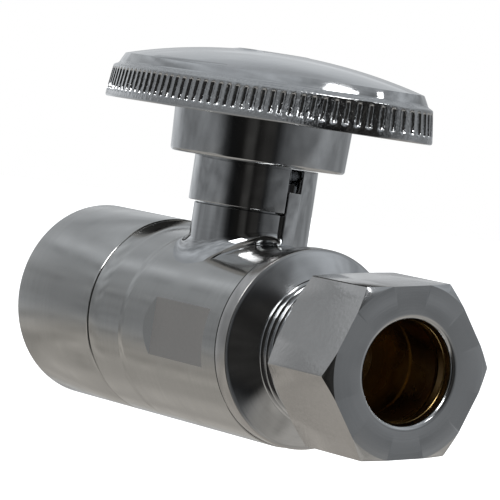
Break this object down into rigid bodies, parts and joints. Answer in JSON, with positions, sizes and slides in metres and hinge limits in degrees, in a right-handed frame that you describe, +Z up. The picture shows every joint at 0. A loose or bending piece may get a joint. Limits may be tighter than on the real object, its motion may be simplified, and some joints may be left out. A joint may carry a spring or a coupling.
{
  "type": "quarter-turn supply stop valve",
  "caption": "Chrome in-line quarter-turn supply stop valve with a plain inlet socket, oval fluted handle and hex compression outlet nut.",
  "frame": {"origin": "centre of the inlet socket's mouth, on the flow axis", "axes": "+X along the flow axis from the inlet towards the outlet, +Z up along the stem"},
  "size_m": [0.0551, 0.0228, 0.0368],
  "materials": {
    "chrome_body": "satin chrome plate over brass",
    "chrome_trim": "polished chrome plate",
    "chrome_handle": "polished chrome plate",
    "chrome_nut": "satin chrome plate, faces as machined",
    "brass": "plain turned brass",
    "seat_plastic": "white seat plastic",
    "ring_rubber": "black rubber"
  },
  "bodies": {
    "valve": {"body": "chrome_body", "seat_inlet": "seat_plastic", "seat_outlet": "seat_plastic", "outlet_adapter": "chrome_trim", "adapter_o_ring": "ring_rubber", "thrust_washer": "seat_plastic"},
    "operator": {"handle": "chrome_handle", "handle_screw": "chrome_trim", "stem": "brass", "stem_o_ring_lower": "ring_rubber", "stem_o_ring_upper": "ring_rubber", "ball": "chrome_trim"},
    "sleeve": {"compression_sleeve": "brass"},
    "nut": {"compression_nut": "chrome_nut"}
  },
  "joints": [
    {"name": "handle_turn", "type": "hinge", "parent": "valve", "child": "operator", "pos_m": [0.0251, 0, 0.02], "axis": [0, 0, 1], "range_deg": [-90, 0]},
    {"name": "nut_travel", "type": "slide", "parent": "valve", "child": "sleeve", "axis": [1, 0, 0], "range_m": [0, 0.00423]},
    {"name": "nut_spin", "type": "hinge", "parent": "sleeve", "child": "nut", "pos_m": [0.05, 0, 0], "axis": [1, 0, 0], "range_deg": [0, 1440]}
  ],
  "couplings": [
    {"joint": "nut_travel", "follows": "nut_spin", "m_per_rad": 0.00016843}
  ]
}
